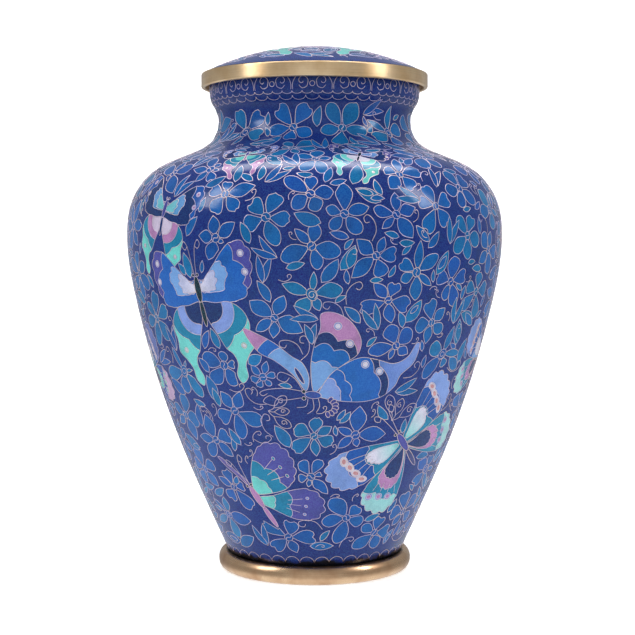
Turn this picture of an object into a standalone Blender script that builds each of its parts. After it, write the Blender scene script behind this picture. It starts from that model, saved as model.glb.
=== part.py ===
"""An enamelled copper funeral urn: a turned vessel on a brass foot ring, with a lift-off lid.

The lid is a brass rim, which caps the mouth, and an enamelled dome set on top of it.
The model stands on the ground at z = 0, with the urn's axis along +Z. All sizes are in metres.
"""

import math

import bmesh
import bpy
import numpy as np

# Vessel, outside
BELLY_RADIUS = 0.0889
BELLY_HEIGHT = 0.1620
SHOULDER_RISE = 0.0502
WAIST_RADIUS = 0.0459
NECK_RISE = 0.0194
MOUTH_RADIUS = 0.0501
FOOT_RADIUS = 0.0413
WALL = 0.0020
LIP_ROUND = 0.0006
FLOOR_RECESS = 0.0030

# Foot ring, a rounded bar bent to a circle
RING_HEIGHT = 0.0082
RING_WIDTH = 0.0086
RING_FLAT = 0.0030

# Lid rim, a cap over the mouth with a collar that centres it inside the neck
SKIRT_WALL = 0.0019
SKIRT_AIR = 0.0021
SKIRT_DROP = 0.0047
RIM_PLATE = 0.0021
COLLAR_WALL = 0.0016
COLLAR_DROP = 0.0070
COLLAR_PLAY = 0.0004
RIM_EDGE = 0.0005

# Lid dome, a shallow enamelled cap
DOME_RISE = 0.0125
DOME_WALL = 0.0018
DOME_LEDGE = 0.0016

# What touches keeps this gap
SEAT_GAP = 0.0003

WAIST_HEIGHT = BELLY_HEIGHT + SHOULDER_RISE
MOUTH_HEIGHT = WAIST_HEIGHT + NECK_RISE

# How finely the round pieces are cut
SIDES = 60
OUTSIDE_ROWS = 27
INSIDE_ROWS = 15
DOME_ROWS = 6
RING_ARC_STEPS = 5
CURVE_SAMPLES = 600
BEND_WEIGHT = 0.22
SHARP_DEGREES = 35.0
MERGE_DISTANCE = 1e-6

# The wall's shape, as shares of each stretch: (share of its height, share of its change in radius)
LOWER_WALL = ((0.160, 0.236), (0.355, 0.503), (0.550, 0.722), (0.750, 0.896))
SHOULDER = ((0.215, 0.955), (0.350, 0.876), (0.475, 0.755), (0.590, 0.540), (0.700, 0.235), (0.795, 0.072))
NECK_FLARE = ((0.240, 0.280), (0.400, 0.745), (0.560, 0.965))

# Enamel and metals: colour, metallic, roughness
COBALT_ENAMEL = ((0.022, 0.030, 0.225), 0.0, 0.12)
SATIN_BRASS = ((0.62, 0.43, 0.20), 1.0, 0.30)
WORN_BRASS = ((0.56, 0.37, 0.22), 1.0, 0.34)


def clear_scene():
    for item in list(bpy.data.objects):
        bpy.data.objects.remove(item)


def material(name, look):
    """A Principled material with one finish."""
    colour, metallic, roughness = look
    made = bpy.data.materials.new(name)
    made.use_nodes = True
    shader = made.node_tree.nodes["Principled BSDF"]
    shader.inputs["Base Color"].default_value = (*colour, 1.0)
    shader.inputs["Metallic"].default_value = metallic
    shader.inputs["Roughness"].default_value = roughness
    made.diffuse_color = (*colour, 1.0)
    return made


def smooth_curve(stations):
    """Points and outward normals along a natural cubic spline through (radius, height) stations."""
    p = np.array(stations, float)
    t = np.concatenate([[0.0], np.cumsum(np.linalg.norm(np.diff(p, axis=0), axis=1))])
    h = np.diff(t)
    count = len(p)
    system = np.eye(count)
    right = np.zeros((count, 2))
    for i in range(1, count - 1):
        system[i, i - 1 : i + 2] = (h[i - 1], 2 * (h[i - 1] + h[i]), h[i])
        right[i] = 6 * ((p[i + 1] - p[i]) / h[i] - (p[i] - p[i - 1]) / h[i - 1])
    bend = np.linalg.solve(system, right)
    s = np.linspace(0.0, t[-1], CURVE_SAMPLES)
    i = np.clip(np.searchsorted(t, s, side="right") - 1, 0, count - 2)
    a = ((t[i + 1] - s) / h[i])[:, None]
    b = 1.0 - a
    width = h[i][:, None] ** 2 / 6
    points = a * p[i] + b * p[i + 1] + ((a**3 - a) * bend[i] + (b**3 - b) * bend[i + 1]) * width
    along = np.gradient(points, s, axis=0)
    along /= np.linalg.norm(along, axis=1)[:, None]
    normals = np.stack([along[:, 1], -along[:, 0]], axis=1)
    return points, normals


def spaced_by_bend(points, normals, rows):
    """Picks rows points, closer together where the curve bends."""
    step = np.linalg.norm(np.diff(points, axis=0), axis=1)
    turn = np.linalg.norm(np.diff(normals, axis=0), axis=1)
    measure = np.concatenate([[0.0], np.cumsum(step / step.sum() + BEND_WEIGHT * turn)])
    wanted = np.linspace(0.0, measure[-1], rows)
    chosen = [np.interp(wanted, measure, points[:, k]) for k in (0, 1)]
    facing = [np.interp(wanted, measure, normals[:, k]) for k in (0, 1)]
    return np.stack(chosen, axis=1), np.stack(facing, axis=1)


def wall_stations():
    """(radius, height) of the vessel's outside, from its foot to just under its lip."""
    foot_height = RING_HEIGHT + SEAT_GAP
    lower = [
        (FOOT_RADIUS + share * (BELLY_RADIUS - FOOT_RADIUS), foot_height + up * (BELLY_HEIGHT - foot_height))
        for up, share in LOWER_WALL
    ]
    shoulder = [
        (WAIST_RADIUS + share * (BELLY_RADIUS - WAIST_RADIUS), BELLY_HEIGHT + up * (WAIST_HEIGHT - BELLY_HEIGHT))
        for up, share in SHOULDER
    ]
    flare = [
        (WAIST_RADIUS + share * (MOUTH_RADIUS - WAIST_RADIUS), WAIST_HEIGHT + up * (MOUTH_HEIGHT - WAIST_HEIGHT))
        for up, share in NECK_FLARE
    ]
    return [
        (FOOT_RADIUS, foot_height),
        *lower,
        (BELLY_RADIUS, BELLY_HEIGHT),
        *shoulder,
        (WAIST_RADIUS, WAIST_HEIGHT),
        *flare,
        (MOUTH_RADIUS, MOUTH_HEIGHT - LIP_ROUND),
    ]


def turned(name, outline, look):
    """Turns a closed (radius, height) outline, listed anticlockwise, about the Z axis."""
    mesh = bpy.data.meshes.new(name)
    shape = bmesh.new()
    points = [shape.verts.new((radius, 0.0, height)) for radius, height in outline]
    edges = [shape.edges.new((a, b)) for a, b in zip(points, points[1:])]
    if outline[0][0] > 0.0 or outline[-1][0] > 0.0:
        edges.append(shape.edges.new((points[-1], points[0])))
    bmesh.ops.spin(
        shape,
        geom=points + edges,
        cent=(0.0, 0.0, 0.0),
        axis=(0.0, 0.0, 1.0),
        angle=2.0 * math.pi,
        steps=SIDES,
        use_merge=True,
    )
    bmesh.ops.remove_doubles(shape, verts=shape.verts, dist=MERGE_DISTANCE)
    bmesh.ops.recalc_face_normals(shape, faces=shape.faces)
    shape.to_mesh(mesh)
    shape.free()
    mesh.shade_smooth()
    mesh.set_sharp_from_angle(angle=math.radians(SHARP_DEGREES))
    mesh.materials.append(look)
    made = bpy.data.objects.new(name, mesh)
    bpy.context.scene.collection.objects.link(made)
    return made


def urn_body(look):
    """The hollow vessel, open at the mouth, with a floor set a little up inside its foot."""
    points, normals = smooth_curve(wall_stations())
    outside, _ = spaced_by_bend(points, normals, OUTSIDE_ROWS)
    foot_height = RING_HEIGHT + SEAT_GAP
    floor_under = foot_height + FLOOR_RECESS
    floor_top = floor_under + WALL
    inner_curve = points - normals * WALL
    kept = (inner_curve[:, 1] > floor_top + WALL / 2) & (inner_curve[:, 1] < MOUTH_HEIGHT - 2 * LIP_ROUND)
    inside, _ = spaced_by_bend(inner_curve[kept], normals[kept], INSIDE_ROWS)
    corner_radius = float(np.interp(floor_under, points[:, 1], points[:, 0])) - WALL
    outline = [(float(r), float(h)) for r, h in outside]
    outline.append((MOUTH_RADIUS - LIP_ROUND, MOUTH_HEIGHT))
    outline.append((MOUTH_RADIUS - WALL + LIP_ROUND, MOUTH_HEIGHT))
    outline += [(float(r), float(h)) for r, h in inside[::-1]]
    outline.append((float(inside[0][0]) - WALL / 2, floor_top))
    outline.append((0.0, floor_top))
    outline.append((0.0, floor_under))
    outline.append((corner_radius, floor_under))
    outline.append((FOOT_RADIUS - WALL, foot_height))
    start = outline.index((0.0, floor_under))
    return turned("urn_body", outline[start:] + outline[:start], look)


def foot_ring(look):
    """A rounded brass bar under the vessel's foot, flat above and below."""
    half_height = RING_HEIGHT / 2
    bulge = (RING_WIDTH - RING_FLAT) / 2
    outer = FOOT_RADIUS + RING_FLAT / 2
    inner = FOOT_RADIUS - RING_FLAT / 2
    turn = [math.radians(-90.0 + 180.0 * k / RING_ARC_STEPS) for k in range(RING_ARC_STEPS + 1)]
    outline = [(outer + bulge * math.cos(a), half_height * (1.0 + math.sin(a))) for a in turn]
    outline += [(inner - bulge * math.cos(a), half_height * (1.0 + math.sin(a))) for a in reversed(turn)]
    return turned("foot_ring", outline, look)


def rim_sizes():
    """Radii and heights that the lid's rim shares with its dome."""
    plate_under = MOUTH_HEIGHT + SEAT_GAP
    skirt_inner = MOUTH_RADIUS + SKIRT_AIR
    return {
        "plate_under": plate_under,
        "plate_top": plate_under + RIM_PLATE,
        "skirt_inner": skirt_inner,
        "skirt_outer": skirt_inner + SKIRT_WALL,
        "collar_outer": MOUTH_RADIUS - WALL - COLLAR_PLAY,
    }


def lid_rim(look):
    """A brass ring that sits on the lip: a skirt outside the neck, a plate over it and a collar inside."""
    size = rim_sizes()
    collar_inner = size["collar_outer"] - COLLAR_WALL
    collar_foot = size["plate_under"] - COLLAR_DROP
    skirt_foot = size["plate_under"] - SKIRT_DROP
    outline = [
        (collar_inner, collar_foot),
        (size["collar_outer"], collar_foot),
        (size["collar_outer"], size["plate_under"]),
        (size["skirt_inner"], size["plate_under"]),
        (size["skirt_inner"], skirt_foot),
        (size["skirt_outer"] - RIM_EDGE, skirt_foot),
        (size["skirt_outer"], skirt_foot + RIM_EDGE),
        (size["skirt_outer"], size["plate_top"] - RIM_EDGE),
        (size["skirt_outer"] - RIM_EDGE, size["plate_top"]),
        (collar_inner, size["plate_top"]),
    ]
    return turned("lid_rim", outline, look)


def lid_dome(look):
    """A shallow spherical cap of enamelled metal, hollow beneath, standing on the rim."""
    size = rim_sizes()
    seat = size["plate_top"] + SEAT_GAP
    edge_radius = size["skirt_outer"] - DOME_LEDGE
    sphere = (edge_radius**2 + DOME_RISE**2) / (2 * DOME_RISE)
    centre_height = seat + DOME_RISE - sphere
    inner_sphere = sphere - DOME_WALL
    inner_edge = math.sqrt(inner_sphere**2 - (seat - centre_height) ** 2)
    outside = []
    inside = []
    for k in range(DOME_ROWS + 1):
        share = k / DOME_ROWS
        radius = edge_radius * share
        outside.append((radius, centre_height + math.sqrt(sphere**2 - radius**2)))
        radius = inner_edge * share
        inside.append((radius, centre_height + math.sqrt(inner_sphere**2 - radius**2)))
    return turned("lid_dome", inside + outside[::-1], look)


def main():
    clear_scene()
    enamel = material("cobalt enamel", COBALT_ENAMEL)
    rim_brass = material("satin brass", SATIN_BRASS)
    foot_brass = material("worn brass", WORN_BRASS)
    root = bpy.data.objects.new("urn", None)
    bpy.context.scene.collection.objects.link(root)
    pieces = [urn_body(enamel), foot_ring(foot_brass), lid_rim(rim_brass), lid_dome(enamel)]
    for piece in pieces:
        piece.parent = root


main()
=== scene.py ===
"""Funeral urn in blue wire-inlaid enamel: flowers and butterflies over the whole vessel and its domed lid,
with a brass rim round the lid and a brass ring under the foot.

Pieces are placed in metres. The enamel is drawn in millimetres, on the skin of the piece that carries it.
"""

import math
import random

import bmesh
import bpy
import numpy as np
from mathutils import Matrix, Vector, geometry


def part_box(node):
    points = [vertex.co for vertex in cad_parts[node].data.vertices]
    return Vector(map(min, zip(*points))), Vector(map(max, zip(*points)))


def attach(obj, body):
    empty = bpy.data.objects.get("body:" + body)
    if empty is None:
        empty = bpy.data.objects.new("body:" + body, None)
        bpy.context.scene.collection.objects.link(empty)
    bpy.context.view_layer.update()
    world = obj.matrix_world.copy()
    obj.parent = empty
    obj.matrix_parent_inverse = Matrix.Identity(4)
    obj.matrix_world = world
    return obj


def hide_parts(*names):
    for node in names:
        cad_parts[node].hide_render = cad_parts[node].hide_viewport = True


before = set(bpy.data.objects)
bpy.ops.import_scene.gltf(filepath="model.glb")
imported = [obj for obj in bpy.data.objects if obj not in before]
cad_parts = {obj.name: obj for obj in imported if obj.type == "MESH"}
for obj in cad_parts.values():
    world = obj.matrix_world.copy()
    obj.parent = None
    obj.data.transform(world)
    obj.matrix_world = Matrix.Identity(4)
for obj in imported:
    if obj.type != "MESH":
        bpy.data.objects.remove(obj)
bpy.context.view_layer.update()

FULL_TURN = 2.0 * math.pi
MM = 0.001
SIDES = 240  # facets round a turned piece

# Millimetres
WIRE_WIDTH = 0.34
LID_WIRE_WIDTH = 0.28
WIRE_RISE = 0.06
WIRE_STEP = 0.12
FLOWER_SPACING = 17.2
PETAL_GAP = 0.36
NET_STEP = 4.5
FLAT_RADIUS = 75.0
SKIN_REACH = 0.2

FIRED_BRIGHT = 0.98  # what firing leaves of a pot's brightness
WAYS = 72  # directions looked along for free ground
FAR = 34.0  # millimetres, beyond which the ground is free enough


def tint(red, green, blue):
    """A colour as a printer would name it, from 0 to 255, turned into linear light."""
    return tuple(
        part / 255 / 12.92 if part / 255 <= 0.04045 else ((part / 255 + 0.055) / 1.055) ** 2.4
        for part in (red, green, blue)
    )


# The enamel maker's pots
COBALT = tint(26, 18, 108)
DEEP_NAVY = tint(22, 18, 92)
BLACK = tint(14, 14, 20)
AZURE = tint(6, 92, 164)
SKY = tint(32, 90, 168)
CORNFLOWER = tint(22, 76, 156)
PEACOCK = tint(0, 104, 152)
PALE_BLUE = tint(124, 156, 202)
PALE_LAVENDER = tint(136, 148, 202)
PURPLE = tint(84, 66, 144)
MAUVE = tint(112, 86, 150)
TEAL = tint(22, 122, 152)
MINT = tint(118, 200, 186)
PINK = tint(186, 124, 166)
CREAM = tint(220, 206, 214)
CORAL = tint(206, 142, 138)
LEAF_TEAL = tint(10, 124, 164)
PETAL_POTS = (tint(10, 82, 154), AZURE, CORNFLOWER, PEACOCK, tint(12, 74, 146), tint(4, 94, 156))


# The skins


def smooth_curve(stations, samples=1600):
    """Points and outward normals along a natural cubic spline through (radius, height) stations."""
    p = np.array(stations, float)
    t = np.concatenate([[0.0], np.cumsum(np.linalg.norm(np.diff(p, axis=0), axis=1))])
    h = np.diff(t)
    count = len(p)
    system = np.eye(count)
    right = np.zeros((count, 2))
    for i in range(1, count - 1):
        system[i, i - 1 : i + 2] = (h[i - 1], 2 * (h[i - 1] + h[i]), h[i])
        right[i] = 6 * ((p[i + 1] - p[i]) / h[i] - (p[i] - p[i - 1]) / h[i - 1])
    bend = np.linalg.solve(system, right)
    s = np.linspace(0.0, t[-1], samples)
    i = np.clip(np.searchsorted(t, s, side="right") - 1, 0, count - 2)
    a = ((t[i + 1] - s) / h[i])[:, None]
    b = 1.0 - a
    width = h[i][:, None] ** 2 / 6
    points = a * p[i] + b * p[i + 1] + ((a**3 - a) * bend[i] + (b**3 - b) * bend[i + 1]) * width
    along = np.gradient(points, s, axis=0)
    along /= np.linalg.norm(along, axis=1)[:, None]
    return points, np.stack([along[:, 1], -along[:, 0]], axis=1)


def section(node):
    """The (radius, height) outline of a turned CAD node in millimetres, walked from its lowest open end."""
    shape = bmesh.new()
    shape.from_mesh(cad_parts[node].data)
    bmesh.ops.remove_doubles(shape, verts=shape.verts, dist=2e-6)
    half = {v for v in shape.verts if abs(v.co.y) < 2e-6 and v.co.x > -2e-6}

    def beside(vertex):
        return [e.other_vert(vertex) for e in vertex.link_edges if e.other_vert(vertex) in half]

    ends = [v for v in half if len(beside(v)) == 1] or [max(half, key=lambda v: (round(v.co.x, 6), -v.co.z))]
    walked = [min(ends, key=lambda v: v.co.z)]
    while True:
        ahead = [v for v in beside(walked[-1]) if v not in walked]
        if not ahead:
            break
        walked.append(ahead[0])
    outline = [(v.co.x / MM, v.co.z / MM) for v in walked]
    shape.free()
    return outline


class VesselSkin:
    """The vessel's outside. A spot on it is (angle from the front, length along the wall from the foot)."""

    def __init__(self, rows):
        points, normals = smooth_curve(rows)
        self.radius, self.height = points.T
        self.out, self.up = normals.T
        self.along = np.concatenate([[0.0], np.cumsum(np.linalg.norm(np.diff(points, axis=0), axis=1))])
        self.end = float(self.along[-1])

    def girth(self, along):
        return np.interp(along, self.along, self.radius)

    def at(self, spots, lift=0.0):
        angle, along = spots[:, 0], spots[:, 1]
        radius = self.girth(along) + lift * np.interp(along, self.along, self.out)
        height = np.interp(along, self.along, self.height) + lift * np.interp(along, self.along, self.up)
        return np.stack([radius * np.sin(angle), -radius * np.cos(angle), height], axis=1) * MM

    def facing(self, spots):
        angle, along = spots[:, 0], spots[:, 1]
        out = np.interp(along, self.along, self.out)
        up = np.interp(along, self.along, self.up)
        normals = np.stack([out * np.sin(angle), -out * np.cos(angle), up], axis=1)
        return normals / np.linalg.norm(normals, axis=1)[:, None]

    def nearest(self, places):
        """The gap in millimetres from points to the skin, and the skin's normals beside them."""
        radius = np.maximum(np.hypot(places[:, 0], places[:, 1]) / MM, 1e-6)
        height = places[:, 2] / MM
        gaps = np.zeros(len(places))
        found = np.zeros(len(places), dtype=int)
        for start in range(0, len(places), 4000):
            part = slice(start, start + 4000)
            away = np.hypot(radius[part, None] - self.radius, height[part, None] - self.height)
            found[part] = away.argmin(axis=1)
            gaps[part] = away.min(axis=1)
        around = places[:, :2] / MM / radius[:, None]
        return gaps, np.column_stack([around * self.out[found][:, None], self.up[found]])

    def spots(self, place, drawn):
        """Lays a drawing in millimetres, right and up, with its middle at a place on the wall."""
        drawn = np.asarray(drawn, float)
        along = np.clip(place[1] + drawn[:, 1], 0.0, self.end)
        return np.stack([place[0] + drawn[:, 0] / self.girth(along), along], axis=1)

    def offsets(self, place, spots):
        """The millimetres right and up from a place to each spot, the short way round."""
        turn = (spots[:, 0] - place[0] + math.pi) % FULL_TURN - math.pi
        return np.stack([turn * self.girth(spots[:, 1]), spots[:, 1] - place[1]], axis=1)

    def flat(self, spots):
        return np.stack([spots[:, 0] * FLAT_RADIUS, spots[:, 1]], axis=1)

    def chart(self, spots):
        return np.stack([spots[:, 0] / FULL_TURN + 0.5, 0.02 + 0.88 * spots[:, 1] / self.end], axis=1)

    def sample(self, rng, low, high):
        """A chance spot between two lengths along the wall, the same everywhere for its area."""
        while True:
            along = rng.uniform(low, high)
            if rng.uniform(0.0, 90.0) < self.girth(along):
                return rng.uniform(-math.pi, math.pi), along


class DomeSkin:
    """The lid's outside, part of a sphere. A spot on it is (right, back) in millimetres, seen from above."""

    def __init__(self, edge, seat, apex):
        self.edge = edge
        rise = apex - seat
        self.sphere = (edge**2 + rise**2) / (2 * rise)
        self.middle = apex - self.sphere

    def at(self, spots, lift=0.0):
        up = np.sqrt(self.sphere**2 - (spots**2).sum(axis=1))
        normals = np.column_stack([spots, up]) / self.sphere
        return (normals * (self.sphere + lift) + np.array([0.0, 0.0, self.middle])) * MM

    def facing(self, spots):
        return np.column_stack([spots, np.sqrt(self.sphere**2 - (spots**2).sum(axis=1))]) / self.sphere

    def nearest(self, places):
        """The gap in millimetres from points to the skin, and the skin's normals beside them."""
        away = places / MM - np.array([0.0, 0.0, self.middle])
        length = np.linalg.norm(away, axis=1)
        return np.abs(length - self.sphere), away / length[:, None]

    def spots(self, place, drawn):
        return np.asarray(drawn, float) + np.array(place)

    def offsets(self, place, spots):
        return spots - np.array(place)

    def flat(self, spots):
        return spots

    def chart(self, spots):
        return 0.5 + spots / self.edge * 0.40

    def sample(self, rng, low, high):
        """A chance spot between two distances from the lid's middle."""
        angle, away = rng.uniform(0.0, FULL_TURN), low + (high - low) * math.sqrt(rng.random())
        return away * math.cos(angle), away * math.sin(angle)


# Drawing


def rounded(corners, step=0.9, closed=True):
    """A smooth line through corners (Catmull-Rom), with points about step apart."""
    p = np.array(corners, float)
    count = len(p)
    made = []
    for i in range(count if closed else count - 1):
        if closed:
            a, b, c, d = p[i - 1], p[i], p[(i + 1) % count], p[(i + 2) % count]
        else:
            a, b, c, d = p[max(i - 1, 0)], p[i], p[i + 1], p[min(i + 2, count - 1)]
        pieces = max(1, int(round(np.linalg.norm(c - b) / step)))
        t = (np.arange(pieces) / pieces)[:, None]
        bend, twist = 2 * a - 5 * b + 4 * c - d, 3 * b - a - 3 * c + d
        made.append(0.5 * (2 * b + (c - a) * t + bend * t**2 + twist * t**3))
    if not closed:
        made.append(p[-1:])
    return np.concatenate(made)


def between(share, first, second):
    return tuple((1.0 - share) * a + share * b for a, b in zip(first, second))


def turned_by(points, degrees, size=1.0, shift=(0.0, 0.0)):
    a = math.radians(degrees)
    spin = np.array([[math.cos(a), math.sin(a)], [-math.sin(a), math.cos(a)]])
    return np.asarray(points, float) @ spin * size + np.array(shift)


def oval(x, y, across, tall, lean=0.0, points=14):
    a = np.linspace(0.0, FULL_TURN, points, endpoint=False)
    return turned_by(np.stack([across * np.cos(a), tall * np.sin(a)], axis=1), lean, 1.0, (x, y))


def curl(x, y, reach, start, sweep, points=16, tight=0.16):
    """A line that winds inwards round (x, y)."""
    t = np.linspace(0.0, 1.0, points)
    a = np.radians(start + sweep * t)
    r = reach * (1.0 - t * (1.0 - tight))
    return np.stack([x + r * np.cos(a), y + r * np.sin(a)], axis=1)


class Drawing:
    """What is inlaid on one skin: cells of colour, each with a wire round it, and loose wires."""

    def __init__(self, skin):
        self.skin = skin
        self.cells = []
        self.strands = []

    def cell(self, place, outline, layer, near, far, heart=None, reach=None):
        """A cell of enamel that goes from one colour at its heart to another at its reach."""
        outline = np.asarray(outline, float)
        after = np.roll(outline, -1, axis=0)
        if (outline[:, 0] * after[:, 1] - outline[:, 1] * after[:, 0]).sum() < 0.0:
            outline = outline[::-1]
        heart = outline.mean(axis=0) if heart is None else np.asarray(heart, float)
        reach = np.linalg.norm(outline - heart, axis=1).max() if reach is None else reach
        self.cells.append(
            {
                "spots": self.skin.spots(place, outline),
                "heart": self.skin.spots(place, [heart])[0],
                "layer": layer,
                "near": near,
                "far": far,
                "reach": reach,
            }
        )

    def strand(self, place, line):
        self.strands.append(self.skin.spots(place, line))


# Butterflies


class Wing:
    """One wing: its outline, and bands of colour cut across it at shares of its length, outermost first."""

    def __init__(self, root, rim, base, bands=(), eyes=(), veins=(), lobes=(0.0, 0.0)):
        self.root = np.array(root, float)
        self.rim = rim
        self.base = base
        self.bands = bands
        self.eyes = eyes
        self.veins = veins
        self.lobes = lobes

    def outline(self):
        line = rounded(self.rim, 0.6)
        away = line - self.root
        length = np.linalg.norm(away, axis=1)
        scallop, depth = self.lobes
        if scallop:
            along = np.concatenate([[0.0], np.cumsum(np.linalg.norm(np.diff(line, axis=0), axis=1))])
            outer = np.clip((length / length.max() - 0.55) / 0.2, 0.0, 1.0)
            bulge = depth * outer * (np.abs(np.sin(math.pi * along / scallop)) - 0.7)
            away = away * (1.0 + bulge / np.maximum(length, 1.0))[:, None]
            length = np.linalg.norm(away, axis=1)
        return away, length

    def draw(self, sheet, place, fit):
        """fit turns the wing's own millimetres into those of the sheet."""
        away, length = self.outline()
        longest = length.max()
        heart = fit(self.root[None])[0]
        scale = np.linalg.norm(fit(self.root[None] + [[1.0, 0.0]])[0] - heart)
        sheet.cell(place, fit(self.root + away), 10, *self.base, heart, longest * scale)
        angle = np.arctan2(away[:, 1], away[:, 0])
        for level, (share, lobes, depth, near, far, *set_in) in enumerate(self.bands):
            ripple = 1.0 + depth * (np.abs(np.sin(lobes * angle)) - 0.6)
            if set_in:
                cut = away * share * ripple[:, None] + np.array(set_in[0])
            else:
                cut = away * np.minimum(1.0, longest * share * ripple / np.maximum(length, 1e-6))[:, None]
            sheet.cell(place, fit(self.root + cut), 11 + level, near, far, heart, longest * share * scale)
        for x, y, across, tall, lean, colour, rim_colour in self.eyes:
            if rim_colour is not None:
                off = across / 4 if across > 2.0 else 0.0
                ring = oval(x + off, y - off, across * 1.62, tall * 1.62, lean, 18)
                sheet.cell(place, fit(ring), 18, rim_colour, rim_colour)
            sheet.cell(place, fit(oval(x, y, across, tall, lean)), 19, colour, colour)
        for line in self.veins:
            sheet.strand(place, fit(rounded(line, 1.2, closed=False)))


def butterfly(sheet, place, wings, turn, size, body, mirrored=True, near_side=1.0, feelers=True):
    """Draws a butterfly with its head up before it is turned; the wings are given for its right side."""

    def fit(points, side=1.0):
        points = np.asarray(points, float) * [side, 1.0]
        return turned_by(points, turn, size)

    for wing in reversed(wings):
        wing.draw(sheet, place, lambda p: fit(p))
        if mirrored:
            wing.draw(sheet, place, lambda p: fit(p, -near_side))
    thorax, tail = body
    sheet.cell(place, fit(oval(0.0, -5.6, 1.7, 6.0, 0.0, 18)), 30, thorax, thorax)
    sheet.cell(place, fit(oval(0.0, -16.6, 1.25, 6.4, 0.0, 16)), 29, tail, tail)
    for side in (-1.0, 1.0):
        sheet.cell(place, fit(oval(side * 1.2, 1.0, 0.75, 0.75, 0.0, 8)), 31, BLACK, BLACK)
        if feelers:
            line = rounded([(side * 0.5, 1.2), (side * 1.2, 8.0), (side * 2.2, 14.0), (side * 4.2, 16.6),
                            (side * 5.2, 14.4), (side * 3.6, 12.6), (side * 2.2, 14.2)], 1.0, closed=False)
            sheet.strand(place, fit(line))


def swallowtail(border, field, inner, core, hind, tip, spots, ring=PALE_LAVENDER, eye=DEEP_NAVY):
    """A butterfly with broad wings and long tails. Each colour is a pot, from the wing's edge inwards."""
    fore = Wing(
        (0.8, -5.0),
        [(0.6, -2.2), (4.4, -1.4), (9.6, 3.2), (16.4, 10.4), (22, 14), (27.4, 13.0), (30, 8), (29.4, 1),
         (27.2, -6), (22.6, -11.6), (15, -12.8), (8, -12.4), (0.8, -11.2)],
        (border, border),
        [(0.77, 6.5, 0.13, field, field), (0.50, 6.0, 0.10, inner, PALE_BLUE, (1.4, 1.2)),
         (0.33, 8.0, 0.16, core, between(0.5, core, PALE_LAVENDER), (0.6, 0.6))],
        [(x, y, 0.95, 0.95, 0.0, spots, PALE_LAVENDER) for x, y in ((25.4, 8.4), (26.0, 0.0))],
        (),
        (7.0, 1.3),
    )
    hind_wing = Wing(
        (0.8, -12.0),
        [(0.8, -11.4), (8, -12.4), (15, -12.6), (20.4, -16.6), (22.4, -22.6), (21.4, -28), (22, -33.4),
         (18.4, -37.4), (15.4, -42), (14.8, -47.6), (11.2, -50.4), (9.6, -46.4), (11.6, -41.0), (10.6, -36.6),
         (7.6, -33.4), (5.0, -27), (2.6, -22), (0.9, -16.6)],
        (tip, tip),
        [(0.55, 3.5, 0.12, hind, TEAL), (0.405, 2.5, 0.10, ring, ring), (0.265, 2.5, 0.10, eye, eye)],
        [(17.0, -33.0, 0.8, 0.8, 0.0, CREAM, tip)],
    )
    return [fore, hind_wing]


def fan_wings(edge, rays, root_near, root_far, hind_edge, hind_field, crescent, spot):
    """A butterfly with lobed fans for wings, rayed with wires."""
    fore = Wing(
        (1.0, -5.0),
        [(0.8, -3.4), (7, 1.4), (16, 7.4), (25.5, 11.6), (33.0, 10.4), (36.4, 3), (34.4, -5), (27, -9.6),
         (17, -10.0), (8, -8.4), (1, -6.6)],
        (edge, between(0.3, edge, PALE_BLUE)),
        [(0.70, 9.0, 0.10, DEEP_NAVY, rays), (0.47, 5.0, 0.14, root_far, root_far),
         (0.42, 4.0, 0.12, root_near, CREAM, (1.6, 0.4))],
        [(26.0 - 0.5 * k, 7.0 - 4.6 * k, 1.0, 1.6, 20.0 - 20.0 * k, spot, CREAM) for k in range(4)],
        [[(15.5, 2.4 - 1.9 * k), (20, 4.4 - 2.9 * k), (24.4, 6.0 - 4.0 * k)] for k in range(4)],
        (5.2, 1.5),
    )
    hind = Wing(
        (1.0, -8.0),
        [(0.8, -7.6), (9, -9.4), (20, -10.6), (28.6, -14.6), (31.0, -22.6), (27, -30.6), (18.6, -31.4),
         (9.4, -23.6), (1.4, -11.4)],
        (hind_edge, between(0.35, hind_edge, CREAM)),
        [(0.74, 7.0, 0.10, hind_field, hind_field), (0.60, 3.0, 0.05, crescent, crescent, (0.4, -0.4)),
         (0.44, 3.0, 0.05, DEEP_NAVY, DEEP_NAVY, (0.6, -0.4))],
        [(26.6 - 3.6 * k, -18.2 - 3.7 * k, 1.1, 1.1, 0.0, crescent, PALE_BLUE) for k in range(3)],
        [[(19.0 - 1.9 * k, -15.0 - 2.6 * k), (23.6 - 2.6 * k, -16.8 - 3.3 * k)] for k in range(4)],
        (5.2, 1.5),
    )
    return [fore, hind]


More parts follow.
